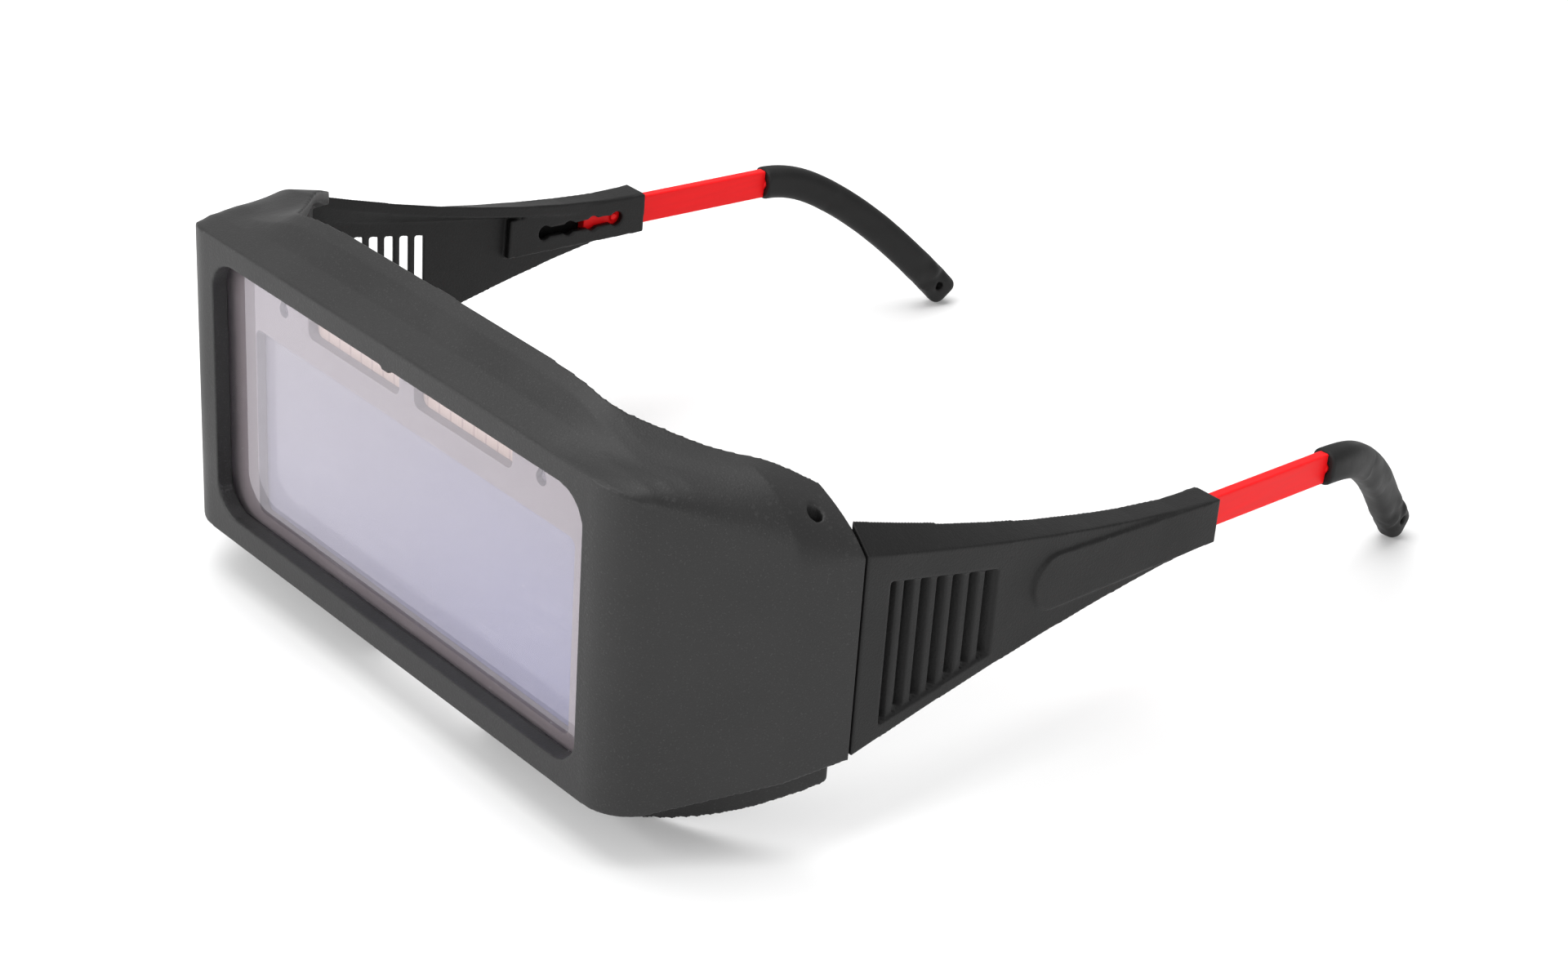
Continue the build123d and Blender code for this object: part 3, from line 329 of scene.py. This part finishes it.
def cassette_plastic():
    """Mauve-grey cassette moulding."""
    n = Nodes("cassette_plastic")
    blotch = n.noise(CASSETTE_BLOTCH, 3.0)
    colour = n.mix(blotch, MAUVE_DARK, MAUVE_LIGHT)
    normal = n.bump(n.noise(CASSETTE_GRAIN, 2.0), 0.25, SATIN_RELIEF)
    n.surface(Base_Color=colour, Roughness=0.5, Normal=normal)
    return n.material


def solar_cell():
    """Amorphous cell: peach strips with fine upright lines between them."""
    n = Nodes("solar_cell")
    x = n.axis("X")
    strip = n.math("FRACT", n.math("MULTIPLY", x, 1 / SOLAR_STRIP))
    line = n.math("LESS_THAN", strip, 0.09)
    fine = n.math("FRACT", n.math("MULTIPLY", x, 1 / SOLAR_HAIR))
    hair = n.math("LESS_THAN", fine, 0.25)
    tone = n.noise(SOLAR_BLOTCH, 2.0)
    colour = n.mix(tone, PEACH_DARK, PEACH_LIGHT)
    colour = n.mix(n.math("MULTIPLY", hair, 0.35), colour, PEACH_HAIR)
    colour = n.mix(line, colour, PEACH_GAP)
    shader = n.surface(Base_Color=colour, Roughness=0.25)
    shader.inputs["Coat Weight"].default_value = 0.4
    return n.material


def sensor_lens():
    """Dark photodiode lens."""
    n = Nodes("sensor_lens")
    tone = n.noise(LENS_BLOTCH, 2.0)
    colour = n.mix(tone, LENS_DARK, LENS_LIGHT)
    n.surface(Base_Color=colour, Roughness=0.15)
    return n.material


def solder_mask():
    """Green board with the faint relief of its tracks."""
    n = Nodes("board")
    tracks = n.new("ShaderNodeTexBrick", Scale=BOARD_TRACKS)
    n.tree.links.new(n.place, tracks.inputs["Vector"])
    colour = n.mix(tracks.outputs["Fac"], MASK_DARK, MASK_LIGHT)
    normal = n.bump(tracks.outputs["Fac"], 0.4, SATIN_RELIEF)
    n.surface(Base_Color=colour, Roughness=0.35, Normal=normal)
    return n.material


def pin_steel():
    """Plain steel with fine turning marks round the pin."""
    n = Nodes("pin_steel")
    rings = n.noise(1.0, 3.0, where=n.stretch(*TURNING_STRETCH))
    rough = n.ramp(rings, 0.3, 0.7, 0.25, 0.42)
    n.surface(
        Base_Color=n.mix(rings, *map(grey, STEEL_GREYS)),
        Metallic=1.0,
        Roughness=rough,
        Normal=n.bump(rings, 0.2, TURNING_RELIEF),
    )
    return n.material


# ---------------------------------------------------------------- CAD nodes that stay
def dress(node, material):
    """Give a CAD node its finished material."""
    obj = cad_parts[node]
    obj.data.materials.clear()
    obj.data.materials.append(material)
    return obj


def soften(obj, voxel, rounds):
    """Round a moulding's edges: weld, remesh finely, then relax the surface."""
    weld = obj.modifiers.new("weld", "WELD")
    weld.merge_threshold = WELD_DISTANCE
    remesh = obj.modifiers.new("remesh", "REMESH")
    remesh.mode = "VOXEL"
    remesh.voxel_size = voxel
    remesh.use_smooth_shade = True
    relax = obj.modifiers.new("relax", "SMOOTH")
    relax.factor = 0.5
    relax.iterations = rounds


def dress_frame():
    """Every carried-over CAD node, by material."""
    finishes = {
        clear_cover(): ["front_cover_plate", "inner_cover_plate"],
        cassette_plastic(): ["cassette_front", "cassette_rear"],
        filter_glass(): ["uv_ir_filter"],
        cell_glass(): ["lcd_cell_front", "lcd_cell_rear"],
        solar_cell(): ["solar_cell_left", "solar_cell_right"],
        sensor_lens(): ["arc_sensor_left", "arc_sensor_right"],
        solder_mask(): ["circuit_board"],
        textured_plastic("component_black", COMPONENT_GREY, COMPONENT_GRAIN, 0.4): [
            "board_components"
        ],
        pin_steel(): ["hinge_pin_left", "hinge_pin_right"],
        red_plastic(): ["slider_left", "slider_right"],
        soft_rubber(): ["ear_hook_left", "ear_hook_right"],
        textured_plastic("frame_black", FRAME_GREY): ["front_frame", "retaining_frame"],
        textured_plastic("temple_black", TEMPLE_GREY, specular=TEMPLE_SPECULAR): [
            "temple_left",
            "temple_right",
        ],
    }
    for material, nodes in finishes.items():
        for node in nodes:
            dress(node, material)
    coarse = 1.0
    soften(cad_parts["front_frame"], FRAME_VOXEL * coarse, FRAME_ROUNDS)
    for side in ("left", "right"):
        soften(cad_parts["temple_" + side], TEMPLE_VOXEL * coarse, TEMPLE_ROUNDS)
        soften(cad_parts["ear_hook_" + side], HOOK_VOXEL * coarse, HOOK_ROUNDS)
        soften(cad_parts["slider_" + side], SLIDER_VOXEL * coarse, SLIDER_ROUNDS)


# ---------------------------------------------------------------- stage
def soft_light(name, place, target, size, power):
    """A large square softbox."""
    data = bpy.data.lights.new(name, "AREA")
    data.shape = "SQUARE"
    data.size = size
    data.energy = power
    light = bpy.data.objects.new(name, data)
    bpy.context.collection.objects.link(light)
    light.location = place
    aim = Vector(target) - Vector(place)
    light.rotation_euler = aim.to_track_quat("-Z", "Y").to_euler()


def add_stage():
    """A plain white floor under soft studio light."""
    bpy.ops.mesh.primitive_plane_add(size=FLOOR_SIZE, location=(0, 0, 0))
    floor = bpy.context.object
    floor.name = "floor"
    n = Nodes("floor_white")
    tone = n.noise(FLOOR_BLOTCH, 2.0)
    n.surface(Base_Color=n.mix(tone, *map(grey, FLOOR_GREYS)), Roughness=0.9)
    floor.data.materials.append(n.material)
    world = bpy.data.worlds.new("studio")
    world.use_nodes = True
    background = world.node_tree.nodes["Background"]
    background.inputs["Color"].default_value = WHITE
    background.inputs["Strength"].default_value = WORLD_STRENGTH
    bpy.context.scene.world = world
    for name, place, size, power in LIGHTS:
        soft_light(name, place, LIGHT_TARGET, size, power)
    bpy.context.scene.view_settings.view_transform = "Standard"


add_camera()
dress_frame()
add_stage()
